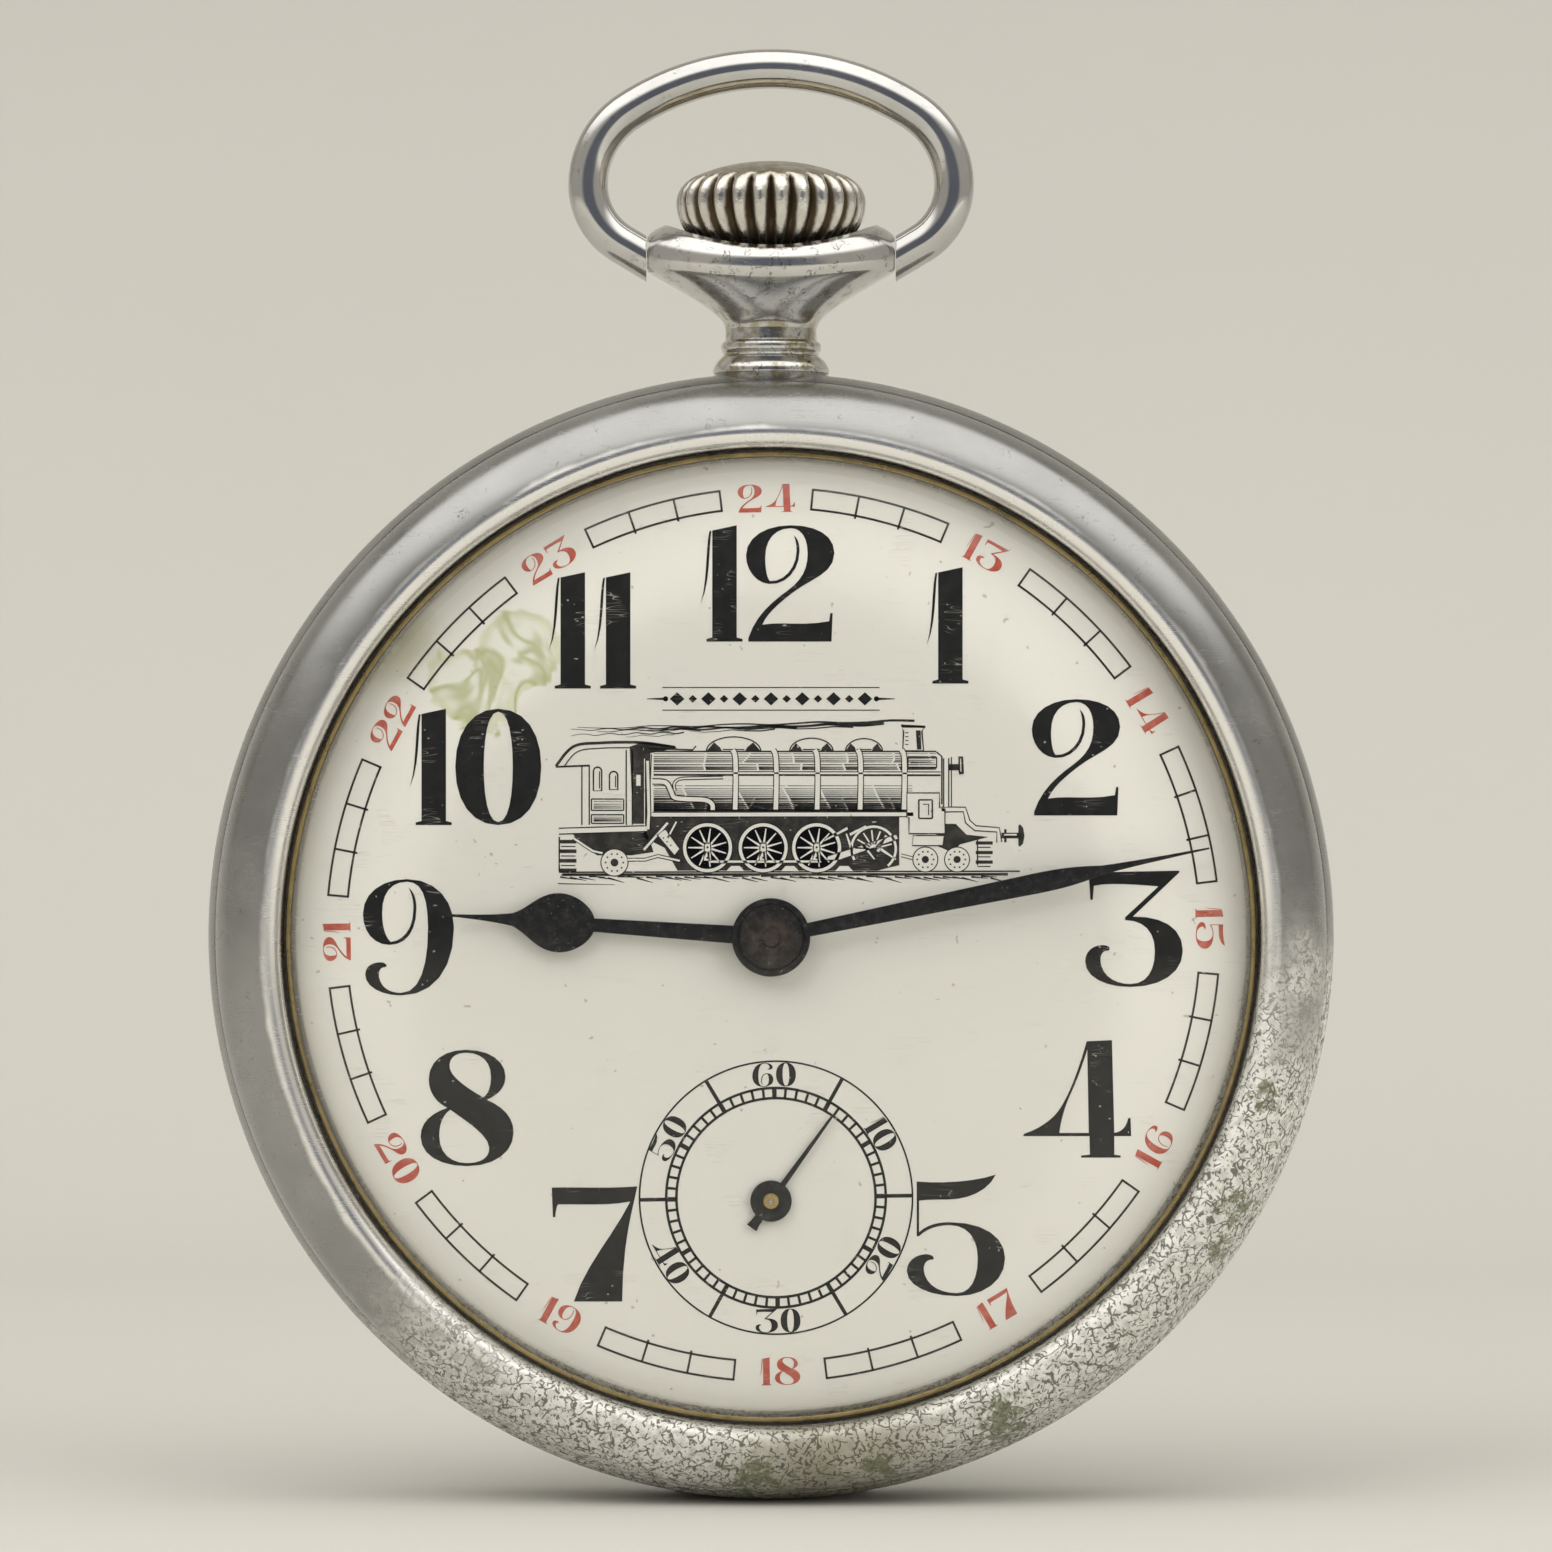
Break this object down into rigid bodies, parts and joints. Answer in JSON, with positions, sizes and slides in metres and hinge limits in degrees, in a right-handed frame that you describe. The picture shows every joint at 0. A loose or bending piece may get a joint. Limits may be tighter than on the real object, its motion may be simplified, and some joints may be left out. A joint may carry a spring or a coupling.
{
  "type": "open-face pocket watch",
  "caption": "Round open-face pocket watch with a pendant crown, oval bow, enamel dial with running seconds, snap bezel, hinged rear cover and a lever movement inside.",
  "frame": {"origin": "on the axis of the hands, in the plane of the winding stem (the middle of the band)", "axes": "+Z to 12 o'clock along the winding stem, -Y out of the dial, +X to 3 o'clock"},
  "size_m": [0.052, 0.0125, 0.0673],
  "materials": {
    "nickel_case": "worn nickel plating on brass, scratched, pitted along the lower right",
    "crown_nickel": "nickel plating worn through to brass in the flutes and on the cap",
    "crystal_glass": "clear, polished, faintly scratched",
    "white_enamel": "fired white enamel, glossy, with black and red printing",
    "black_hand": "black oxide, satin",
    "gilt_brass": "gilt, satin",
    "bright_steel": "fine ground",
    "blued_steel": "heat blued, polished",
    "movement_nickel": "nickel-plated brass, fine frosted with stripes",
    "ruby": "polished synthetic ruby"
  },
  "bodies": {
    "case": {"case_band": "nickel_case", "hinge_pin": "bright_steel", "pendant": "nickel_case", "main_plate": "movement_nickel", "barrel_bridge": "movement_nickel", "train_bridge": "movement_nickel", "balance_cock": "movement_nickel", "pallet_cock": "movement_nickel", "bridge_screws": "blued_steel", "case_screws": "bright_steel", "jewels": "ruby", "crown_wheel_core": "bright_steel", "click_spring": "bright_steel", "yoke_spring": "bright_steel", "keyless_cover": "bright_steel", "hairspring": "blued_steel", "hairspring_stud": "bright_steel", "dial": "white_enamel", "dial_rim": "gilt_brass"},
    "bezel": {"bezel": "nickel_case", "crystal": "crystal_glass"},
    "rear_cover": {"rear_cover": "nickel_case"},
    "bow": {"bow": "nickel_case"},
    "winding_pinion": {"winding_pinion": "bright_steel"},
    "stem": {"stem": "bright_steel", "crown": "crown_nickel"},
    "sliding_pinion": {"sliding_pinion": "bright_steel"},
    "crown_wheel": {"crown_wheel": "bright_steel"},
    "ratchet": {"ratchet_wheel": "bright_steel", "ratchet_screw": "blued_steel", "barrel_arbor": "bright_steel"},
    "click": {"click": "bright_steel"},
    "setting_lever": {"setting_lever": "bright_steel"},
    "yoke": {"yoke": "bright_steel"},
    "setting_wheel": {"setting_wheel": "bright_steel"},
    "barrel": {"barrel_drum": "gilt_brass", "barrel_cover": "gilt_brass", "mainspring": "blued_steel"},
    "centre": {"centre_wheel": "gilt_brass", "centre_arbor": "bright_steel", "cannon_pinion": "bright_steel", "minute_hand": "black_hand"},
    "third": {"third_wheel": "gilt_brass", "third_arbor": "bright_steel"},
    "fourth": {"fourth_wheel": "gilt_brass", "fourth_arbor": "bright_steel", "seconds_hand": "black_hand"},
    "escape": {"escape_wheel": "bright_steel", "escape_arbor": "bright_steel"},
    "pallet": {"pallet_fork": "bright_steel", "pallet_stones": "ruby"},
    "balance": {"balance_wheel": "gilt_brass", "balance_screws": "gilt_brass", "balance_staff": "bright_steel", "roller_jewel": "ruby"},
    "minute_wheel": {"minute_wheel": "gilt_brass"},
    "hour": {"hour_wheel": "gilt_brass", "hour_hand": "black_hand"},
    "regulator": {"regulator": "bright_steel"}
  },
  "joints": [
    {"name": "centre_turn", "type": "hinge", "parent": "case", "child": "centre", "pos_m": [0, 0, 0], "axis": [0, 1, 0], "continuous": true},
    {"name": "barrel_turn", "type": "hinge", "parent": "case", "child": "barrel", "pos_m": [-0.0074, 0, 0.0061], "axis": [0, 1, 0], "continuous": true},
    {"name": "third_turn", "type": "hinge", "parent": "case", "child": "third", "pos_m": [0.00303, 0, -0.00653], "axis": [0, 1, 0], "continuous": true},
    {"name": "fourth_turn", "type": "hinge", "parent": "case", "child": "fourth", "pos_m": [0, 0, -0.01214], "axis": [0, 1, 0], "continuous": true},
    {"name": "escape_turn", "type": "hinge", "parent": "case", "child": "escape", "pos_m": [0.0052, 0, -0.01305], "axis": [0, 1, 0], "continuous": true},
    {"name": "minute_wheel_turn", "type": "hinge", "parent": "case", "child": "minute_wheel", "pos_m": [0.0009, 0, 0.00349], "axis": [0, 1, 0], "continuous": true},
    {"name": "hour_turn", "type": "hinge", "parent": "case", "child": "hour", "pos_m": [0, 0, 0], "axis": [0, 1, 0], "continuous": true},
    {"name": "setting_wheel_turn", "type": "hinge", "parent": "case", "child": "setting_wheel", "pos_m": [0, 0, 0.00881], "axis": [0, 1, 0], "continuous": true},
    {"name": "crown_turn", "type": "hinge", "parent": "case", "child": "winding_pinion", "pos_m": [0, 0, 0.016], "axis": [0, 0, 1], "continuous": true},
    {"name": "crown_wheel_turn", "type": "hinge", "parent": "case", "child": "crown_wheel", "pos_m": [0, 0, 0.01283], "axis": [0, 1, 0], "continuous": true},
    {"name": "ratchet_turn", "type": "hinge", "parent": "case", "child": "ratchet", "pos_m": [-0.0074, 0, 0.0061], "axis": [0, 1, 0], "continuous": true},
    {"name": "crown_pull", "type": "slide", "parent": "winding_pinion", "child": "stem", "axis": [0, 0, 1], "range_m": [0, 0.001]},
    {"name": "clutch_slide", "type": "slide", "parent": "winding_pinion", "child": "sliding_pinion", "axis": [0, 0, 1], "range_m": [-0.0008, 0]},
    {"name": "setting_lever_swing", "type": "hinge", "parent": "case", "child": "setting_lever", "pos_m": [0.0033, 0, 0.0182], "axis": [0, 1, 0], "range_deg": [0, 18]},
    {"name": "yoke_swing", "type": "hinge", "parent": "case", "child": "yoke", "pos_m": [0.0052, 0, 0.0112], "axis": [0, 1, 0], "range_deg": [-8.65, 0]},
    {"name": "click_swing", "type": "hinge", "parent": "case", "child": "click", "pos_m": [-0.01395, 0, 0.00151], "axis": [0, 1, 0], "range_deg": [0, 6], "stiffness_Nm_per_rad": 0.00002},
    {"name": "pallet_swing", "type": "hinge", "parent": "case", "child": "pallet", "pos_m": [0.00707, 0, -0.01101], "axis": [0, 1, 0], "range_deg": [-5, 5]},
    {"name": "balance_swing", "type": "hinge", "parent": "case", "child": "balance", "pos_m": [0.01015, 0, -0.00765], "axis": [0, 1, 0], "range_deg": [-220, 220], "stiffness_Nm_per_rad": 0.000001, "deforming": ["hairspring"]},
    {"name": "regulator_turn", "type": "hinge", "parent": "case", "child": "regulator", "pos_m": [0.01015, 0, -0.00765], "axis": [0, 1, 0], "range_deg": [-12, 12]},
    {"name": "bow_swing", "type": "hinge", "parent": "case", "child": "bow", "pos_m": [0, 0, 0.03135], "axis": [1, 0, 0], "range_deg": [-90, 90]},
    {"name": "rear_cover_open", "type": "hinge", "parent": "case", "child": "rear_cover", "pos_m": [0, 0.00285, -0.0256], "axis": [-1, 0, 0], "range_deg": [0, 100]},
    {"name": "bezel_lift", "type": "slide", "parent": "case", "child": "bezel", "axis": [0, -1, 0], "range_m": [0, 0.012]}
  ],
  "couplings": [
    {"joint": "barrel_turn", "follows": "centre_turn", "ratio": -0.14286},
    {"joint": "third_turn", "follows": "centre_turn", "ratio": -8},
    {"joint": "fourth_turn", "follows": "centre_turn", "ratio": 60},
    {"joint": "escape_turn", "follows": "centre_turn", "ratio": -600},
    {"joint": "minute_wheel_turn", "follows": "centre_turn", "ratio": -0.33333},
    {"joint": "hour_turn", "follows": "centre_turn", "ratio": 0.083333},
    {"joint": "setting_wheel_turn", "follows": "centre_turn", "ratio": 0.33333},
    {"joint": "crown_wheel_turn", "follows": "crown_turn", "ratio": -0.5},
    {"joint": "ratchet_turn", "follows": "crown_turn", "ratio": 0.33333},
    {"joint": "clutch_slide", "follows": "crown_pull", "ratio": -0.8},
    {"joint": "setting_lever_swing", "follows": "crown_pull", "rad_per_m": 313.85},
    {"joint": "yoke_swing", "follows": "crown_pull", "rad_per_m": -150.82}
  ]
}
